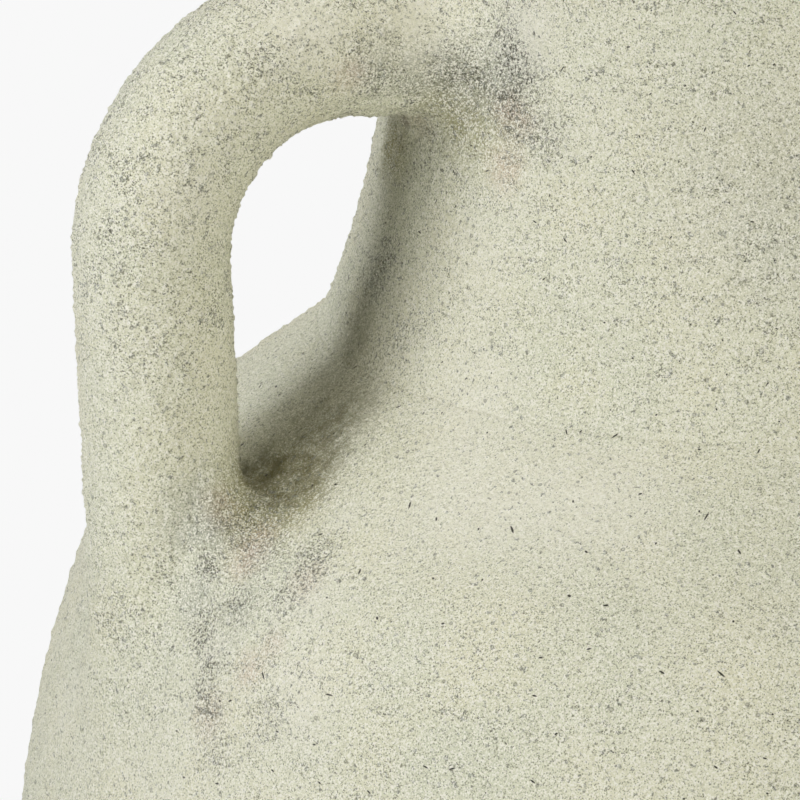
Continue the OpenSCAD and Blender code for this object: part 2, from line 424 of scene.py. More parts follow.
# %% [markdown]
# Each section's outline is a closed loop: up the outside, across the joint, down the inside and
# back. Beside its place, every point carries the direction out of the clay, so that two
# sections move alike where they meet, and how bare the clay is there, because the wash covers
# the outside and only the top of the inside.

# %% Outlines of the five sections
INSIDE_STEP = 5 * MM
RIM_INSIDE_STEP = 1.5 * MM
FINE_STEP = 1.0 * MM
SHOULDER_STEP = 1.4 * MM
LOWER_STEP = 1.6 * MM
FLOOR_ROWS = 18
OFF_GROUND = 0.001 * MM
TOUCHING = 1e-7
WASH_DEPTH = (18 * MM, 75 * MM)

top_point = int(np.argmax(outside[:, 1]))
outside_lean = outward(outside)
inside_lean = outward(inside)


def stretch(line, lean, z_from, z_to, step):
    """The part of a line between two heights, in steps of about the given size."""
    rising = z_to > z_from
    order = slice(None) if rising else slice(None, None, -1)
    heights = line[order, 1]
    low, high = min(z_from, z_to), max(z_from, z_to)
    columns = np.concatenate([line, lean], 1)[order]
    inner = columns[(heights > low + TOUCHING) & (heights < high - TOUCHING)]
    ends = [[np.interp(z, heights, columns[:, k]) for k in range(4)] for z in (low, high)]
    part = even(np.vstack([ends[0], inner, ends[1]]), step)[order]
    part[:, 2:] /= np.linalg.norm(part[:, 2:], axis=1, keepdims=True)
    return part


def outer_stretch(z_from, z_to, step):
    return stretch(outside[: top_point + 1], outside_lean[: top_point + 1], z_from, z_to, step)


def inner_stretch(z_from, z_to, step=INSIDE_STEP):
    return stretch(inside, inside_lean, z_from, z_to, step)


def bareness(part):
    """1 on bare clay: far down the inside and under the foot."""
    facing_in = part[:, 2] < 0
    depth = (lip_top - part[:, 1] - WASH_DEPTH[0]) / (WASH_DEPTH[1] - WASH_DEPTH[0])
    return np.clip(np.where(facing_in, depth, 0), 0, 1)


def loop(*parts):
    """One closed outline: a list of place, direction out of the clay, and bareness."""
    rows = np.concatenate([np.column_stack([p, bareness(p)]) for p in parts])
    return np.vstack([rows, rows[:1]])


def thrown_loop(z_low, z_high, step):
    return loop(outer_stretch(z_low, z_high, step), inner_stretch(z_high, z_low))


lip_outer = np.concatenate([outside, outside_lean], 1)[top_point:]
rim_loop = loop(
    outer_stretch(rim_z, outside[top_point, 1], FINE_STEP), lip_outer[2:-1:2],
    inner_stretch(inside[0, 1], rim_z, RIM_INSIDE_STEP),
)
underside = np.array([[r, 0, 0, -1] for r in np.arange(0, edge_centre[0], INSIDE_STEP)])
floor_top = np.array([[r, foot_top, 0, 1] for r in np.linspace(floor_r, 0, FLOOR_ROWS)])
foot_side = outer_stretch(OFF_GROUND, foot_top, FINE_STEP)
foot_bare = np.repeat([1.0, 0.0, 1.0], [len(underside), len(foot_side), len(floor_top)])
outlines = {
    "foot": np.column_stack([np.concatenate([underside, foot_side, floor_top]), foot_bare]),
    "lower_body": thrown_loop(foot_top, belly_z, LOWER_STEP),
    "shoulder": thrown_loop(belly_z, neck_z, SHOULDER_STEP),
    "neck": thrown_loop(neck_z, rim_z, FINE_STEP),
    "rim": rim_loop,
}
print({name: len(rows) for name, rows in outlines.items()})


# %% Turn the sections
COLUMNS = 640
SKIN = {
    "Line depth": 0.35 * MM, "Lump depth": 0.45 * MM, "Grain depth": 0.7 * MM,
    "Thumb depth": 1.5 * MM, "Crumb height": 0.4 * MM, "Seed": 3.0,
}
SHARP_EDGE = math.radians(55)


def grow(piece, tree, values):
    """Runs a tree on a piece and keeps the result as a plain mesh."""
    modifier = piece.modifiers.new("grow", "NODES")
    modifier.node_group = tree
    for item in tree.interface.items_tree:
        if item.in_out == "INPUT" and item.name in values:
            modifier[item.identifier] = values[item.name]
    bpy.context.view_layer.update()
    graph = bpy.context.evaluated_depsgraph_get()
    mesh = bpy.data.meshes.new_from_object(
        piece.evaluated_get(graph), preserve_all_data_layers=True, depsgraph=graph
    )
    piece.modifiers.clear()
    piece.data = mesh
    return piece


def volume(mesh):
    """Signed volume of a closed mesh, negative where it is inside out."""
    mesh.calc_loop_triangles()
    corners = np.zeros(len(mesh.loop_triangles) * 3, np.int32)
    mesh.loop_triangles.foreach_get("vertices", corners)
    a, b, c = places(mesh)[corners.reshape(-1, 3)].transpose(1, 0, 2)
    return float(np.einsum("ij,ij->i", a, np.cross(b, c)).sum() / 6)


def places(mesh):
    found = np.zeros(len(mesh.vertices) * 3)
    mesh.vertices.foreach_get("co", found)
    return found.reshape(-1, 3)


def finished(piece):
    """Faces out, smooth, sharp only at real edges; prints what it is."""
    mesh = piece.data
    if volume(mesh) < 0:
        mesh.flip_normals()
    mesh.shade_smooth()
    mesh.set_sharp_from_angle(angle=SHARP_EDGE)
    mesh.name = piece.name
    triangles = sum(len(p.vertices) - 2 for p in mesh.polygons)
    print(piece.name, triangles, "triangles,", round(volume(mesh) * 1e6), "ml of clay")
    return piece


def point_attribute(mesh, name, kind, values):
    found = mesh.attributes.get(name) or mesh.attributes.new(name, kind, "POINT")
    key = {"FLOAT": "value", "FLOAT_VECTOR": "vector"}[kind]
    found.data.foreach_set(key, np.asarray(values, np.float32).ravel())


def upright(pairs):
    """Pairs of numbers as points or directions in the plane of X and Z."""
    return np.column_stack([pairs[:, 0], np.zeros(len(pairs)), pairs[:, 1]])


def line_piece(name, rows):
    """A piece that is still only its outline, in the plane of X and Z."""
    mesh = bpy.data.meshes.new(name)
    mesh.from_pydata(upright(rows).tolist(), [(i, i + 1) for i in range(len(rows) - 1)], [])
    if rows.shape[1] > 2:
        point_attribute(mesh, "outward", "FLOAT_VECTOR", upright(rows[:, 2:4]))
        point_attribute(mesh, "bare", "FLOAT", rows[:, 4])
    return link(name, mesh)


wash = bpy.data.materials.new("pale sandy wash over terracotta")
pieces = {}
for node_name, rows_of_it in outlines.items():
    section = grow(
        line_piece(f"{node_name}_thrown", rows_of_it), wheel,
        {"Columns": COLUMNS, "Material": wash, **SKIN},
    )
    pieces[node_name] = finished(section)

# %% [markdown]
# ## Pulled handles
# A potter pulls a handle from a lump of wet clay, bends it and lutes it on while it is soft, so
# it is a round bar that follows a bent line. That is a curve with a round section, which a
# second tree makes. A cutter of the vase's own outline, a little smaller, then trims both ends
# just under the skin of the vase, so that nothing shows on the inside.

# %% Middle line of a handle
HANDLE_D = 29.5 * MM
HANDLE_IN = 22 * MM
HANDLE_LEAN = math.radians(2)
HANDLE_DROP = 11.2 * MM
HANDLE_RISE = math.radians(3.5)
BEND_SHARE = 0.72
SUNK_IN_NECK = 6 * MM
LEG_END_RISE = 50 * MM
LINE_STEP = 1 * MM

handle_r = HANDLE_D / 2
leg_x = belly_r - HANDLE_IN
top_z = waist_z - HANDLE_DROP
corner_x = (leg_x + (top_z - neck_z - waist_r * math.tan(HANDLE_RISE)) * math.tan(HANDLE_LEAN)) / (
    1 - math.tan(HANDLE_RISE) * math.tan(HANDLE_LEAN)
)
corner = np.array([corner_x, top_z + (corner_x - waist_r) * math.tan(HANDLE_RISE)])
out_from_neck = np.array([math.cos(HANDLE_RISE), math.sin(HANDLE_RISE)])
down_leg = np.array([-math.sin(HANDLE_LEAN), -math.cos(HANDLE_LEAN)])
handle_turn = math.pi / 2 + HANDLE_RISE + HANDLE_LEAN
bend_run = (corner_x - waist_r) / math.cos(HANDLE_RISE) * BEND_SHARE
bend_r = bend_run / math.tan(handle_turn / 2)
bend_start = corner - out_from_neck * bend_run
bend_end = corner + down_leg * bend_run
bend_middle = bend_start + np.array([out_from_neck[1], -out_from_neck[0]]) * bend_r
curved = arc(bend_middle, bend_r, math.pi / 2 + HANDLE_RISE, -HANDLE_LEAN)
middle_line = even(np.vstack([
    bend_start - out_from_neck * (bend_start[0] - waist_r + SUNK_IN_NECK),
    curved,
    bend_end + down_leg * (bend_end[1] - belly_z - LEG_END_RISE),
]), LINE_STEP)
print("handle line of", len(middle_line), "points, bend radius", round(bend_r / MM, 1), "mm")

# %% Tree that draws a round bar along a line and trims it
pull, given, result = new_tree("pulled_handle", [
    ("Line", "NodeSocketGeometry", None),
    ("Bar radius", "NodeSocketFloat", 10 * MM),
    ("Corners", "NodeSocketInt", 32),
    ("Step", "NodeSocketFloat", 1 * MM),
    ("Cutter", "NodeSocketObject", None),
    *CLOTHED_SOCKETS,
])
curve = add(pull, "GeometryNodeMeshToCurve", [given.outputs["Line"]])
fine = add(pull, "GeometryNodeResampleCurve", {
    "Curve": curve, "Length": given.outputs["Step"],
}, mode="LENGTH")
ring = add(pull, "GeometryNodeCurvePrimitiveCircle", {
    "Resolution": given.outputs["Corners"], "Radius": given.outputs["Bar radius"],
})
bar = add(pull, "GeometryNodeCurveToMesh", {
    "Curve": fine, "Profile Curve": ring, "Fill Caps": True,
})
marked = add(pull, "GeometryNodeStoreNamedAttribute", {
    "Geometry": bar, "Name": "pulled", "Value": 1.0,
}, data_type="FLOAT", domain="POINT")
facing = add(pull, "GeometryNodeInputNormal")
rough_bar = roughen(pull, given, marked, facing)
cutter_shape = add(pull, "GeometryNodeObjectInfo", {"Object": given.outputs["Cutter"]})
trimmed = add(pull, "GeometryNodeMeshBoolean", [
    rough_bar, cutter_shape.outputs["Geometry"],
], operation="DIFFERENCE", solver="EXACT")
clothe(pull, given, result, trimmed)
print("handle tree of", len(pull.nodes), "nodes")

# %% Pull both handles
TRIM_DEPTH = 3 * MM
CUTTER_BOTTOM = 60 * MM
CUTTER_STEP = 2 * MM
CUTTER_COLUMNS = 160
BAR_CORNERS = 150
BAR_STEP = 0.62 * MM

shrunk = (outside - TRIM_DEPTH * outside_lean)[:top_point]
shrunk = even(shrunk[(shrunk[:, 1] > CUTTER_BOTTOM) & (shrunk[:, 1] < rim_z)], CUTTER_STEP)
cutter_rows = np.vstack([[0, shrunk[0, 1]], shrunk, [0, shrunk[-1, 1]]])
cutter_rows = np.column_stack([cutter_rows, np.zeros((len(cutter_rows), 3))])
cutter = grow(line_piece("cutter", cutter_rows), wheel, {"Columns": CUTTER_COLUMNS})
if volume(cutter.data) < 0:
    cutter.data.flip_normals()

for side, sign in (("left", -1), ("right", 1)):
    rows_of_it = middle_line * [sign, 1]
    handle = grow(line_piece(f"handle_{side}_pulled", rows_of_it), pull, {
        "Bar radius": handle_r, "Corners": BAR_CORNERS, "Step": BAR_STEP, "Cutter": cutter,
        "Material": wash, **SKIN,
    })
    pieces[f"handle_{side}"] = finished(handle)
bpy.data.objects.remove(cutter)

# %% [markdown]
# ## Clay luted round the roots
# Soft clay is pressed into the corner between handle and vase and wiped out both ways. Its
# section is a curve that leaves the handle along it and lands on the vase along it, so it is
# drawn section by section: one starts on the handle, bends round the corner where the two
# skins meet, and ends on the vase. The clay is scant in the crotch under the handle and broad
# at its sides, as a thumb leaves it. The ring is closed below, inside the handle and the wall.

# %% Where the handle's skin meets the skin of the vase
SECTIONS = 260
SEARCH_RUN = 120 * MM
SEARCH_STEP = 0.1 * MM
heights_up = outside[: top_point + 1, 1]


def vase_radius(z):
    return np.interp(z, heights_up, outside[: top_point + 1, 0])


def vase_normal(points):
    lean = [np.interp(points[:, 2], heights_up, outside_lean[: top_point + 1, k]) for k in (0, 1)]
    across = np.hypot(points[:, 0], points[:, 1])
    return np.column_stack([
        lean[0] * points[:, 0] / across, lean[0] * points[:, 1] / across, lean[1]
    ])


def on_vase(points):
    """The same points moved level onto the skin of the vase."""
    share = vase_radius(points[:, 2]) / np.hypot(points[:, 0], points[:, 1])
    return points * np.column_stack([share, share, np.ones(len(points))])


def meeting(start, along, up):
    """Round the bar: its outward normals, and where each of its lines enters the vase."""
    angle = np.linspace(0, 2 * math.pi, SECTIONS, endpoint=False)
    normal = np.outer(np.cos(angle), up) + np.outer(np.sin(angle), (0, 1, 0))
    origin = start + handle_r * normal
    run = np.arange(0, SEARCH_RUN, SEARCH_STEP)
    line = origin[:, None, :] + run[None, :, None] * along
    sunk = np.hypot(line[..., 0], line[..., 1]) < vase_radius(line[..., 2])
    return angle, normal, origin + run[np.argmax(sunk, axis=1)][:, None] * along


print("vase radius at the upper joint", round(vase_radius(top_z) / MM, 1), "mm")

# %% Sections of the luted clay
LUTE_ROWS = 20
TUCK = 0.45 * MM
TUCK_RUN = 2.5 * MM
BACK_DEPTH = 2.2 * MM
WAVES = (2, 3, 5, 7, 11)
WAVE_HEIGHT = 0.16
WAVE_GAIN = 1.6


def spread_round(angle, far, side, crotch):
    """A size that goes smoothly from the far side over the flanks to the crotch."""
    facing = np.cos(angle)
    return side + np.where(facing > 0, far - side, crotch - side) * facing**2


def wavering(angle, seed):
    """A hand's unevenness: a few waves round the bar."""
    random = np.random.default_rng(seed)
    total = np.ones_like(angle)
    for waves in WAVES:
        shift = random.uniform(0, 2 * math.pi)
        total += WAVE_HEIGHT / math.sqrt(waves) * WAVE_GAIN * np.sin(waves * angle + shift)
    return total[:, None]


def luted_ring(start, along, up, on_handle, on_body, seed):
    """Vertices of the ring, rows by sections, and each row's share of the way to the vase."""
    angle, bar_normal, corner_line = meeting(start, along, up)
    body_normal = vase_normal(corner_line)
    away = bar_normal - (bar_normal * body_normal).sum(1, keepdims=True) * body_normal
    away /= np.linalg.norm(away, axis=1, keepdims=True)
    rise = spread_round(angle, *on_handle)[:, None] * wavering(angle, seed)
    run = spread_round(angle, *on_body)[:, None] * wavering(angle, seed + 1)
    first = corner_line - along * rise
    last = on_vase(corner_line + away * run)
    rows, shares = [first - along * TUCK_RUN - bar_normal * TUCK], [0.0]
    for t in np.linspace(0, 1, LUTE_ROWS):
        rows.append((1 - t) ** 2 * first + 2 * t * (1 - t) * corner_line + t**2 * last)
        shares.append(t)
    rows.append(on_vase(last + away * TUCK_RUN) - vase_normal(last) * TUCK)
    shares.append(1.0)
    inward = bar_normal + body_normal
    inward /= -np.linalg.norm(inward, axis=1, keepdims=True)
    for row_number in (LUTE_ROWS, LUTE_ROWS // 2, 1):
        rows.append(rows[row_number] + inward * BACK_DEPTH)
        shares.append(shares[row_number])
    return np.array(rows), np.array(shares)


def ring_mesh(name, rows, shares, sign):
    """A closed ring from its rows, mirrored for the left."""
    count, sections = rows.shape[:2]
    index = np.arange(count * sections).reshape(count, sections)
    below, beside = np.roll(index, -1, 0), np.roll(index, -1, 1)
    faces = np.stack([index, beside, np.roll(beside, -1, 0), below], -1).reshape(-1, 4)
    mesh = bpy.data.meshes.new(name)
    mesh.from_pydata((rows * [sign, 1, 1]).reshape(-1, 3).tolist(), [], faces.tolist())
    point_attribute(mesh, "pulled", "FLOAT", np.repeat(1 - shares, sections))
    return mesh


print(SECTIONS, "sections of", LUTE_ROWS, "rows on the skin")

# %% Lute the handles
lute, given, result = new_tree("smeared_clay", [
    ("Ring", "NodeSocketGeometry", None),
    *CLOTHED_SOCKETS,
])
facing = add(lute, "GeometryNodeInputNormal")
clothe(lute, given, result, roughen(lute, given, given.outputs["Ring"], facing))


def flat_to_space(point):
    return np.array([point[0], 0.0, point[1]])


level_out = flat_to_space(out_from_neck)
leg_down = flat_to_space(down_leg)
JOINTS = {
    # start of the bar, its direction into the vase, its far side, and how far the clay goes
    # up the handle and out on the vase: on the far side, the flanks and the crotch
    "upper_luting": (
        flat_to_space(bend_start), -level_out, np.array([-level_out[2], 0, level_out[0]]),
        (9 * MM, 10 * MM, 5 * MM), (12 * MM, 16 * MM, 6 * MM),
    ),
    "lower_luting": (
        flat_to_space(bend_end), leg_down, np.array([-leg_down[2], 0, leg_down[0]]),
        (22 * MM, 18 * MM, 3 * MM), (15 * MM, 17 * MM, 3.5 * MM),
    ),
}
for number, (joint, sizes) in enumerate(JOINTS.items()):
    for side, sign in (("left", -1), ("right", 1)):
        ring_rows, ring_shares = luted_ring(*sizes, seed=10 * number + sign + 1)
        node_name = f"{joint}_{side}"
        ring = link(f"{node_name}_smeared", ring_mesh(node_name, ring_rows, ring_shares, sign))
        if volume(ring.data) < 0:
            ring.data.flip_normals()
        pieces[node_name] = finished(grow(ring, lute, {"Material": wash, **SKIN}))

# %% [markdown]
# ## Stains round the joints
# Where the clay was luted, the wash was dabbed on again, so it is pitted, and olive, umber,
# pink, rust, blue grey and chalky in blots. The umber spots also carry painted shadow, laid
# along the handle's shadow on the neck and shoulder and in the crevice at its foot.
# Painting them in the shader would need a node for each blot. Instead each
# vertex gets seven numbers, one for each kind of stain. They fall off smoothly round a few
# listed spots, and the shader breaks their edges up with noise. The right side has the
# same spots half a turn round the vase, shifted and weaker: alike, but not twins.

# %% Spots of the left joints and what they leave on each vertex
# kind: (x, y, z, reach) in mm and strength
SPOTS = {
    "pitted": (
        (-78, -26, 359, 5, 0.7), (-77, -29, 354, 4, 0.8), (-79, -26, 347, 5, 0.7),
        (-76, -34, 349, 4, 0.5), (-96, -13, 361, 5, 0.3), (-82, -19, 350, 5, 0.5),
        (-89, -15, 351, 6, 0.3), (-78, -31, 342, 5, 0.6), (-75, -38, 341, 4, 0.7),
        (-85, -6, 333, 7, 0.4), (-136, -21, 261, 3, 1), (-135, -31, 257, 4, 0.8),
        (-139, -26, 252, 4, 0.7), (-140, -27, 249, 3, 0.8), (-140, -32, 247, 3, 0.7),
        (-142, -33, 242, 4, 0.7), (-142, -37, 238, 4, 0.7), (-143, -41, 231, 4, 0.6),
        (-122, -40, 267, 5, 0.8), (-127, -27, 266, 6, 0.6), (-128, -42, 261, 6, 0.7),
        (-129, -18, 268, 5, 0.6), (-137, -51, 241, 6, 0.5), (-120, -17, 273, 8, 0.6),
        (-90, 4, 309, 7, 0.6), (-93, -9, 299, 6, 0.4),
    ),
    "olive": (
        (-81, -22, 341, 11, 0.7), (-85, -12, 342, 8, 0.6), (-118, -12, 274, 9, 1),
        (-124, -15, 271, 8, 0.7), (-119, -23, 273, 6, 0.6), (-84, 14, 331, 6, 1),
        (-124, -22, 269, 10, 0.6), (-85, 8, 329, 5, 0.7),
    ),
    "pink": (
        (-104, -14, 351, 4.5, 0.7), (-79, -28, 345, 3.5, 0.9), (-77, -33, 343, 3, 0.6),
        (-79, -29, 334, 5, 0.8), (-132, -16, 271, 4, 0.7), (-127, -24, 267, 4, 0.7),
        (-131, -26, 263, 4, 0.9), (-125, -43, 263, 4, 0.8), (-133, -46, 253, 3, 0.6),
        (-137, -43, 248, 4, 0.7), (-143, -37, 238, 5, 0.6), (-85, -2, 339, 5, 0.5),
    ),
    "blue": (
        (-100, -15, 353, 6, 0.7), (-92, -14, 351, 7, 0.8), (-84, -17, 349, 8, 0.8),
        (-79, -26, 350, 8, 0.8), (-77, -30, 356, 5, 0.5), (-134, -19, 267, 5, 0.6),
        (-128, -28, 264, 4, 0.5), (-134, -34, 257, 5, 0.5), (-139, -15, 266, 6, 0.4),
        (-139, -32, 249, 5, 0.5), (-90, 5, 308, 8, 0.7), (-75, -37, 341, 6, 0.5),
        (-47, -69, 342, 22, 0.4), (-48, -72, 324, 18, 0.3), (-65, -106, 270, 12, 0.2),
        (-139, -20, 255, 6, 0.7), (-137, -15, 273, 7, 0.5),
    ),
    "chalk": (
        (-76, -31, 360, 8, 1), (-91, -14, 360, 8, 1), (-113, -13, 360, 9, 1),
        (-89, -36, 292, 12, 0.7), (-98, -55, 279, 16, 0.8), (-127, -46, 261, 8, 0.6),
        (-132, -58, 246, 9, 0.7), (-81, -73, 281, 16, 0.8), (-84, -27, 318, 10, 0.5),
        (-140, -32, 249, 3.5, 0.7), (-136, -15, 330, 7, 0.5), (-115, -37, 272, 3, 0.8),
        (-150, 18, 225, 8, 0.5),
    ),
    # Umber is crevice dirt and painted shadow: these spots lie along the handle's shadow on the
    # neck and shoulder and deepen it.
    "umber": (
        (-92, 9, 301, 7, 0.5), (-96, 6, 293, 9, 0.6), (-101, -11, 287, 8, 0.35),
        (-106, -11, 283, 9, 0.5), (-117, -15, 275, 8, 0.5), (-118, -20, 272, 8, 0.7),
        (-111, -18, 279, 8, 0.4), (-120, -9, 273, 7, 0.6), (-84, 14, 334, 5, 0.7),
        (-85, 15, 326, 5, 0.5), (-106, 5, 284, 9, 0.4), (-86, 8, 321, 7, 0.2),
        (-121, -2, 274, 6, 0.7), (-113, -4, 279, 13, 0.35),
    ),
    "rust": (
        (-85, 5, 337, 1.6, 1), (-85, 3, 337, 1.4, 0.8),
    ),
}
SPOT_SHIFT = 6 * MM
RIGHT_STRENGTH = 0.8
SPOT_SEED = 11

random = np.random.default_rng(SPOT_SEED)
for kind, spots in SPOTS.items():
    left = np.array(spots) * [MM, MM, MM, MM, 1]
    right = left * [-1, -1, 1, 1, RIGHT_STRENGTH]
    right[:, :3] += random.uniform(-SPOT_SHIFT, SPOT_SHIFT, (len(right), 3))
    for piece in pieces.values():
        at = places(piece.data)
        total = np.zeros(len(at))
        for x, y, z, reach_of_it, strength in np.vstack([left, right]):
            total += strength * np.exp(-((at - (x, y, z)) ** 2).sum(1) / reach_of_it**2)
        point_attribute(piece.data, kind, "FLOAT", np.clip(total, 0, 1))
print({kind: 2 * len(spots) for kind, spots in SPOTS.items()})

# %% [markdown]
# ## The pale sandy wash
# The photograph shows a thin cream coat of slip and sand brushed on fired clay: matt, gritty to
# the touch, with dark grains showing through. It has no sheen at all, so nearly all of its look
# is colour variation and tiny relief. Each layer below is one thing that the eye can pick out,
# at its real size, and the same layers feed both the colour and the bump.

# %% Colours of the wash and the clay
def colour(hex_code):
    """A colour written as on a web page, as the linear numbers that Blender works in."""
    parts = [int(hex_code[i:i + 2], 16) / 255 for i in (1, 3, 5)]
    linear = [c / 12.92 if c <= 0.04045 else ((c + 0.055) / 1.055) ** 2.4 for c in parts]
    return (*linear, 1.0)


CREAM = colour("#E2E1CA")
COOL_CREAM = colour("#D6D8C1")
WARM_CREAM = colour("#E4DFC0")
CHALK = colour("#EFEDDE")
# Light grains, and also the painted highlight on the sand's crests
SALT_AND_HIGHLIGHT = colour("#F5F3E8")
# Painted shade, with some dirt, in the sand's hollows
HOLLOW_DIRT_AND_SHADE = colour("#8E8E78")
DENT = colour("#6C6C5A")
PEPPER = colour("#4E4C3E")
BLUE_GREY = colour("#7C807E")
SLATE = colour("#747B86")
OLIVE = colour("#9F9962")
# Dark olive-brown of crevice dirt, also used as painted shadow along the handle's shadow
UMBER_AND_PAINTED_SHADOW = colour("#5E5833")
RUST = colour("#6A4438")
PINK = colour("#C9A594")
NICK = colour("#3B392F")
TERRACOTTA = colour("#A9714C")
PALE_TERRACOTTA = colour("#BE8A63")
WASH_ROUGHNESS = 0.92
WASH_IOR = 1.45

print("cream", [round(part, 2) for part in CREAM])

# %% Places and attributes that the layers read
# Brushing and scraping went round the vase, so what they left is longer than it is high.
BRUSHED = (0.28, 0.28, 1.0)
SCRAPED = (0.4, 0.4, 1.0)
# Noise lines up with its axes, which shows in the finest grains, so those are read askew.
ASKEW = (0.6, 0.9, 0.4)

wash.use_nodes = True
coat = wash.node_tree
shader = coat.nodes["Principled BSDF"]
shader.inputs["Roughness"].default_value = WASH_ROUGHNESS
shader.inputs["IOR"].default_value = WASH_IOR
there = add(coat, "ShaderNodeTexCoord").outputs["Object"]
marks = {
    name: add(coat, "ShaderNodeAttribute", attribute_name=name).outputs["Fac"]
    for name in ("pulled", "bare", *SPOTS)
}
not_pulled = add(coat, "ShaderNodeMath", [1.0, marks["pulled"]], operation="SUBTRACT")
brushed = add(coat, "ShaderNodeVectorMath", [there, BRUSHED], operation="MULTIPLY")
scraped = add(coat, "ShaderNodeVectorMath", [there, SCRAPED], operation="MULTIPLY")
askew = add(
    coat, "ShaderNodeVectorRotate", {"Vector": there, "Rotation": ASKEW}, rotation_type="EULER_XYZ"
)
print("reads", sorted(marks))

# %% Noise patterns, each at its real size
# name: where it is read, size in mm, detail, roughness of the detail
# The finest real grains are a tenth of a millimetre, less than a pixel, so they are drawn at
# about a third of a millimetre, where they still show.
PATTERNS = {
    "patch": (there, 34, 2.0, 0.5),
    "warmth": (there, 15, 2.0, 0.5),
    "cloud": (there, 5.5, 3.0, 0.6),
    "streak": (brushed, 2.4, 3.0, 0.6),
    "fleck": (scraped, 0.40, 1.0, 0.6),
    "curl": (there, 0.85, 1.0, 0.5),
    "pepper": (askew, 0.38, 1.0, 0.6),
    "salt": (askew, 0.32, 0.0, 0.5),
    "sand": (askew, 0.27, 0.0, 0.5),
    "grain": (askew, 0.9, 0.0, 0.5),
    "grit": (askew, 1.9, 1.0, 0.6),
    "blot": (there, 3.2, 3.0, 0.7),
    "pit": (askew, 0.55, 1.0, 0.6),
}
# Each pattern is read this much further along the noise's fourth axis than the one before.
PATTERN_GAP = 1.7
noise = {}
for number, (name, (where, size, detail, rough)) in enumerate(PATTERNS.items()):
    noise[name] = add(coat, "ShaderNodeTexNoise", {
        "Vector": where, "W": PATTERN_GAP * number, "Scale": 1 / (size * MM),
        "Detail": detail, "Roughness": rough,
    }, noise_dimensions="4D")

# name: pattern, and its values where the mask starts and where it is full
BROAD = {
    "streaky": ("streak", 0.49, 0.72),
    "cloudy": ("cloud", 0.38, 0.66),
    "patchy": ("patch", 0.35, 0.68),
    "warm": ("warmth", 0.45, 0.75),
}
mask = {
    name: add(coat, "ShaderNodeMapRange", [noise[pattern], start, full])
    for name, (pattern, start, full) in BROAD.items()
}
print(len(noise), "patterns")

# %% How dense the dark grains are
# A band below the neck was wiped cleaner, the wall below it a little, and the joints are
# dirtier. The edges are heights from the band's middle, and the dirt goes with them.
BAND_BELOW_NECK = 10 * MM
BAND_EDGE, BAND_DIRT = (6 * MM, 30 * MM), (0.15, 0.75)
WALL_EDGE, WALL_DIRT = (-55 * MM, -32 * MM), (0.5, 1.0)
PITTED_DIRT = 0.6

split = add(coat, "ShaderNodeSeparateXYZ", [there])
from_band = add(coat, "ShaderNodeMath", [
    split.outputs["Z"], neck_z - BAND_BELOW_NECK,
], operation="SUBTRACT")
off_band = add(coat, "ShaderNodeMath", [from_band], operation="ABSOLUTE")
band, wall = (
    add(coat, "ShaderNodeMapRange", [distance, *edge, *dirt], interpolation_type="SMOOTHSTEP")
    for distance, edge, dirt in (
        (off_band, BAND_EDGE, BAND_DIRT), (from_band, WALL_EDGE, WALL_DIRT)
    )
)
dirty = add(coat, "ShaderNodeMath", [band, wall], operation="MULTIPLY")
spread = add(coat, "ShaderNodeMix", {
    "Factor": marks["pulled"], 2: mask["streaky"], 3: mask["cloudy"],
})
grime = add(coat, "ShaderNodeMath", [spread, dirty], operation="MULTIPLY")
grime = add(coat, "ShaderNodeMath", [
    marks["pitted"], PITTED_DIRT, grime,
], operation="MULTIPLY_ADD", use_clamp=True)
print("band at", round((neck_z - BAND_BELOW_NECK) / MM), "mm")

# %% Masks of the layers
# name: pattern, its value where the mask starts and where it is full, with no grime and with full
LAYERS = {
    # The sand's hollows are painted darker, as painted shade with some dirt, and its crests
    # lighter, as a painted highlight.
    "hollow": ("sand", 0.43, 0.26, 0.52, 0.34),
    "crest": ("sand", 0.55, 0.73, 0.52, 0.66),
    "salt": ("salt", 0.57, 0.69, 0.53, 0.64),
    "pepper": ("pepper", 0.67, 0.75, 0.54, 0.63),
    "fleck": ("fleck", 0.66, 0.76, 0.52, 0.62),
    "blue": ("grain", 0.68, 0.80, 0.56, 0.70),
    "dent": ("grain", 0.66, 0.74, 0.44, 0.54),
    "pit": ("pit", 0.60, 0.68, 0.50, 0.57),
}
DENT_LINE = (0.05, 0.015)

for name, (pattern, start, full, dirty_start, dirty_full) in LAYERS.items():
    low = add(coat, "ShaderNodeMapRange", {"Value": grime, "To Min": start, "To Max": dirty_start})
    high = add(coat, "ShaderNodeMapRange", {"Value": grime, "To Min": full, "To Max": dirty_full})
    mask[name] = add(
        coat, "ShaderNodeMapRange", [noise[pattern], low, high], interpolation_type="SMOOTHSTEP"
    )
# A grain of sand leaves a curved dent at its edge: a thin line where noise crosses its middle.
across = add(coat, "ShaderNodeMath", [noise["curl"], 0.5], operation="SUBTRACT")
off_line = add(coat, "ShaderNodeMath", [across], operation="ABSOLUTE")
curled = add(coat, "ShaderNodeMapRange", [off_line, *DENT_LINE])
print("masks", list(mask))

# %% [markdown]
# Burst bubbles leave small rings in the wash, and loose grit drags short nicks into it. Both are
# single marks rather than noise, so Voronoi cells place them: the distance to a cell's middle
# draws a ring, and a long thin ellipse round it, turned by the cell's own random number, draws
# a nick. Nicks need flat ground to lie on, so they are laid out on the unrolled vase.

# %% Rings and nicks
BUBBLE_SPACING = 4.6 * MM
# How far from the bubble's middle in mm, and how strong the ring is there
RING = ((0.0, 0.3), (0.12, 0.3), (0.28, 1.0), (0.36, 1.0), (0.52, 0.0))
NICK_SPACING = 7 * MM
NICK_SIZE = (0.8 * MM, 0.15 * MM)
NICK_SHORTEST = 5
NICK_TILT = 1.2
NICK_EDGE = (1.1, 0.7)
NICK_CHANCE = 0.55

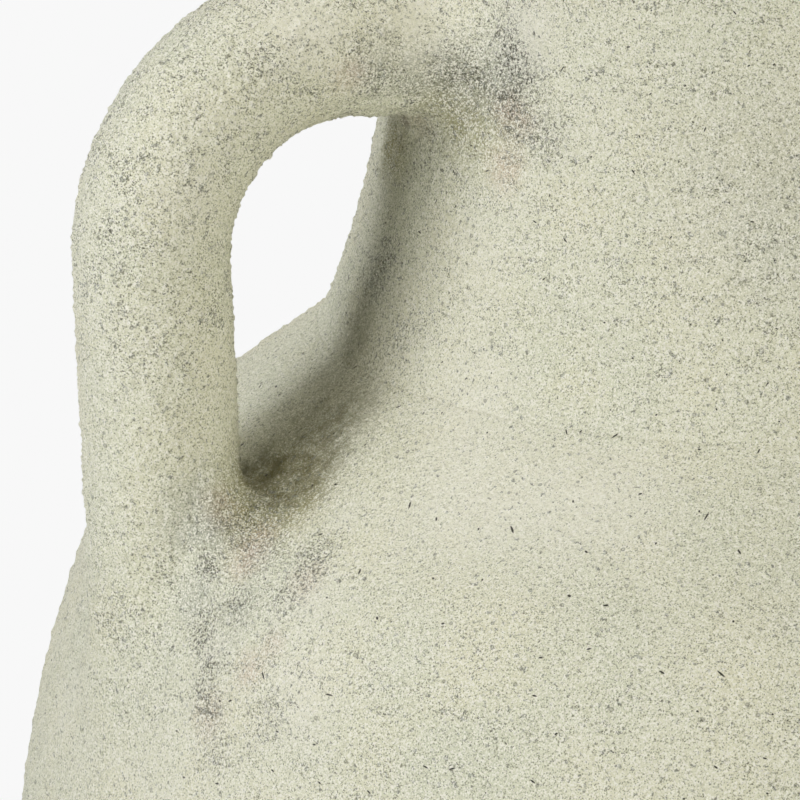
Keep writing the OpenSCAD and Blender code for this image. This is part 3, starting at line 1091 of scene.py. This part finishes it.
bubble = add(coat, "ShaderNodeTexVoronoi", {"Vector": there, "Scale": 1 / BUBBLE_SPACING})
bubble_mm = add(coat, "ShaderNodeMath", [
    bubble.outputs["Distance"], BUBBLE_SPACING / MM,
], operation="MULTIPLY")
ring = add(coat, "ShaderNodeValToRGB", {"Fac": bubble_mm})
stops = ring.color_ramp.elements
for stop_number, (position, value) in enumerate(RING):
    stop = stops[0] if stop_number == 0 else stops.new(position)
    stop.position, stop.color = position, (value, value, value, 1)
stops.remove(stops[-1])
mask["ring"] = ring

front = add(coat, "ShaderNodeMath", [split.outputs["Y"], -1.0], operation="MULTIPLY")
round_it = add(coat, "ShaderNodeMath", [split.outputs["X"], front], operation="ARCTAN2")
unrolled_x = add(coat, "ShaderNodeMath", [round_it, neck_r], operation="MULTIPLY")
unrolled = add(coat, "ShaderNodeCombineXYZ", [unrolled_x, split.outputs["Z"]])
nick_cell = add(coat, "ShaderNodeTexVoronoi", {
    "Vector": unrolled, "Scale": 1 / NICK_SPACING,
}, voronoi_dimensions="2D")
from_middle = add(coat, "ShaderNodeVectorMath", [
    unrolled, nick_cell.outputs["Position"],
], operation="SUBTRACT")
chance = add(coat, "ShaderNodeSeparateColor", [nick_cell.outputs["Color"]])
tilt = add(coat, "ShaderNodeMapRange", {"Value": chance, "To Min": -NICK_TILT, "To Max": NICK_TILT})
laid = add(
    coat, "ShaderNodeVectorRotate", {"Vector": from_middle, "Angle": tilt}, rotation_type="Z_AXIS"
)
shorter = add(coat, "ShaderNodeMapRange", {
    "Value": chance.outputs[2], "To Min": NICK_SHORTEST / NICK_SIZE[0], "To Max": 1 / NICK_SIZE[0],
})
narrow = add(coat, "ShaderNodeCombineXYZ", [shorter, 1 / NICK_SIZE[1]])
in_nicks = add(coat, "ShaderNodeVectorMath", [laid, narrow], operation="MULTIPLY")
far = add(coat, "ShaderNodeVectorMath", [in_nicks], operation="LENGTH")
mask["nick"] = add(coat, "ShaderNodeMapRange", [far.outputs["Value"], *NICK_EDGE])
rare = add(coat, "ShaderNodeMath", [chance.outputs[1], NICK_CHANCE], operation="LESS_THAN")
print("ring of", len(stops), "stops")

# %% Stains, broken up at their edges, and bare clay
STAIN_EDGE = (0.05, 0.62)
STAIN_COVER = -0.85
BARE_EDGE = (0.85, 1.0)

broken = {
    f"{kind} stain": add(
        coat, "ShaderNodeMath", [noise["blot"], marks[kind]], operation="MULTIPLY"
    ) for kind in SPOTS if kind != "pitted"
}
broken["bare"] = add(coat, "ShaderNodeMath", [marks["bare"], noise["cloud"]])
for name, edge in broken.items():
    start, full = BARE_EDGE if name == "bare" else STAIN_EDGE
    mask[name] = add(coat, "ShaderNodeMapRange", [edge, start, full])
# 1 outside the umber stain and its painted shadow
uncovered = add(coat, "ShaderNodeMath", [
    mask["umber stain"], STAIN_COVER, 1.0,
], operation="MULTIPLY_ADD")
print("stains", list(broken))

# %% Where each mark is kept
# Flecks and nicks are only on thrown clay, and pits only where the clay was luted. The umber
# stain with its painted shadow covers the salt grains and the painted crest highlights too.
for name, where in (
    ("fleck", not_pulled), ("pit", marks["pitted"]), ("dent", curled), ("nick", rare),
    ("nick", not_pulled), ("crest", uncovered), ("salt", uncovered)
):
    mask[name] = add(coat, "ShaderNodeMath", [mask[name], where], operation="MULTIPLY")
print(len(mask), "masks")

# %% Colour, layer over layer
# mask, its strength, and the colour laid over what is below it
COATS = (
    ("patchy", 0.8, COOL_CREAM),
    ("warm", 0.45, WARM_CREAM),
    ("olive stain", 0.85, OLIVE),
    # Crevice dirt and painted shadow of the handle on the neck and shoulder
    ("umber stain", 0.85, UMBER_AND_PAINTED_SHADOW),
    ("pink stain", 0.65, PINK),
    ("blue stain", 0.42, SLATE),
    ("rust stain", 0.8, RUST),
    # Painted shade and dirt in the sand's hollows, then a painted highlight on its crests
    ("hollow", 0.85, HOLLOW_DIRT_AND_SHADE),
    ("crest", 0.95, SALT_AND_HIGHLIGHT),
    ("chalk stain", 0.75, CHALK),
    ("fleck", 0.55, DENT),
    ("dent", 0.8, DENT),
    ("blue", 0.4, BLUE_GREY),
    ("salt", 0.8, SALT_AND_HIGHLIGHT),
    ("pepper", 0.9, PEPPER),
    ("pit", 0.85, PEPPER),
    ("ring", 0.5, PEPPER),
    ("nick", 1.0, NICK),
)
clay = add(coat, "ShaderNodeMix", {
    "Factor": noise["cloud"], 6: TERRACOTTA, 7: PALE_TERRACOTTA,
}, data_type="RGBA").outputs[2]
paint = CREAM
for name, strength, over in (*COATS, ("bare", None, clay)):
    covering = mask[name]
    if strength:
        covering = add(coat, "ShaderNodeMath", [covering, strength], operation="MULTIPLY")
    paint = add(
        coat, "ShaderNodeMix", {"Factor": covering, 6: paint, 7: over}, data_type="RGBA"
    ).outputs[2]
coat.links.new(paint, shader.inputs["Base Color"])
print(len(COATS), "coats over", wash.name)

# %% Relief, in millimetres
RELIEF = (
    (noise["grit"], 0.45),
    (noise["grain"], 0.35),
    (noise["sand"], 0.08),
    (mask["pepper"], -0.05),
    (mask["fleck"], -0.04),
    (mask["pit"], -0.15),
    (mask["ring"], -0.04),
    (mask["nick"], -0.08),
)
relief = 0.0
for source, depth in RELIEF:
    relief = add(coat, "ShaderNodeMath", [source, depth, relief], operation="MULTIPLY_ADD")
bump = add(coat, "ShaderNodeBump", {"Height": relief, "Distance": 1 * MM, "Strength": 1.0})
coat.links.new(bump.outputs[0], shader.inputs["Normal"])
print("wash of", len(coat.nodes), "nodes")

# %% [markdown]
# ## Floor, backdrop and light
# The photograph has plain white paper behind the vase and a broad soft light from the left, which
# puts the handle's shadow on the neck. The floor takes a real shadow close to the vase, half
# veiled by a glow that only the camera sees. Further off the glow takes over, so the background
# stays even, and no extra light falls on the vase to make it white. The lamps' powers were
# fitted to the photograph's light and shade, except the back lamp's, which it doesn't show.

# %% White paper below and all round
PAPER = colour("#F8F8F8")
WARM_ROOM = colour("#FBF3DC")
FLOOR_TONE = colour("#E4E4E0")
SHADOW_FLOOR = (0.40, 0.54)
NEAR_GLOW = 0.5
FLOOR_R = 4.0
FLOOR_SIDES = 96
SKY_STRENGTH = 0.05

world = bpy.data.worlds.new("white paper all round")
bpy.context.scene.world = world
world.use_nodes = True
sky = world.node_tree
sky.nodes.clear()


def seen_directly(tree):
    """1 for rays by which the camera sees a thing, also in gloss and through glass."""
    path = add(tree, "ShaderNodeLightPath")
    gloss = add(tree, "ShaderNodeMath", [
        path.outputs["Is Camera Ray"], path.outputs["Is Glossy Ray"],
    ], operation="MAXIMUM")
    return add(tree, "ShaderNodeMath", [
        gloss, path.outputs["Is Transmission Ray"],
    ], operation="MAXIMUM")


lit = add(sky, "ShaderNodeBackground", {"Color": WARM_ROOM, "Strength": SKY_STRENGTH})
shown = add(sky, "ShaderNodeBackground", {"Color": PAPER, "Strength": 1.0})
chosen = add(sky, "ShaderNodeMixShader", [seen_directly(sky), lit, shown])
add(sky, "ShaderNodeOutputWorld", {"Surface": chosen})

floor_finish = bpy.data.materials.new("matt white paper")
floor_finish.use_nodes = True
paper = floor_finish.node_tree
paper.nodes.clear()
on_floor = add(paper, "ShaderNodeTexCoord")
off_axis = add(paper, "ShaderNodeVectorMath", [on_floor.outputs["Object"]], operation="LENGTH")
far_off = add(paper, "ShaderNodeMapRange", [
    off_axis.outputs["Value"], *SHADOW_FLOOR, NEAR_GLOW,
], interpolation_type="SMOOTHSTEP")
glow_share = add(paper, "ShaderNodeMath", [far_off, seen_directly(paper)], operation="MULTIPLY")
matt = add(paper, "ShaderNodeBsdfDiffuse", {"Color": FLOOR_TONE})
even_white = add(paper, "ShaderNodeEmission", {"Color": PAPER, "Strength": 1.0})
both = add(paper, "ShaderNodeMixShader", [glow_share, matt, even_white])
add(paper, "ShaderNodeOutputMaterial", {"Surface": both})

turns = np.linspace(0, 2 * math.pi, FLOOR_SIDES, endpoint=False)
floor_mesh = bpy.data.meshes.new("floor")
floor_mesh.from_pydata(
    np.column_stack([FLOOR_R * np.cos(turns), FLOOR_R * np.sin(turns), 0 * turns]).tolist(),
    [], [list(range(len(turns)))],
)
floor_mesh.materials.append(floor_finish)
floor = link("floor", floor_mesh)
print("floor of radius", FLOOR_R, "m")

# %% Lamps
# name: turn from the front and rise, in degrees, distance and size in metres, watts, colour
DAYLIGHT = colour("#FBFCFF")
OFF_PAPER = colour("#FFFDF4")
LAMPS = {
    "low_key": (-83.5, 10, 0.9, 0.5, 3.6, DAYLIGHT),
    "high_key": (-98.5, 55, 0.9, 0.5, 1.6, DAYLIGHT),
    "overhead": (0, 88, 1.5, 1.0, 5.0, OFF_PAPER),
    "front_fill": (6.5, 15, 2.2, 1.2, 19.0, OFF_PAPER),
    "right_fill": (55, 35, 2.2, 1.2, 0.4, OFF_PAPER),
    "back_fill": (128, 35, 2.2, 1.2, 15.0, OFF_PAPER),
}
LAMP_AIM = Vector((-0.05, 0, 0.25))
for name, (turned, risen, distance, size, watts, tint) in LAMPS.items():
    lamp = bpy.data.lights.new(name, "AREA")
    lamp.size = size
    lamp.energy = watts
    lamp.color = tint[:3]
    box = link(name, lamp)
    stand(box, math.radians(turned), math.radians(risen), distance, LAMP_AIM)
    box.visible_camera = False

bpy.context.scene.view_settings.view_transform = "Standard"
print("lamps", list(LAMPS))

# %% [markdown]
# ## Hand the pieces over
# Every drawn piece stands for one solid of the imported part, so it rides on the same body, and
# it takes that solid's place, which is hidden. Nothing on a vase moves, so all of them ride on
# the root. The skin may roughen the clay but not make it larger.

# %% Rides and replacements
for node_name, piece in pieces.items():
    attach(piece, "root")
    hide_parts(node_name)
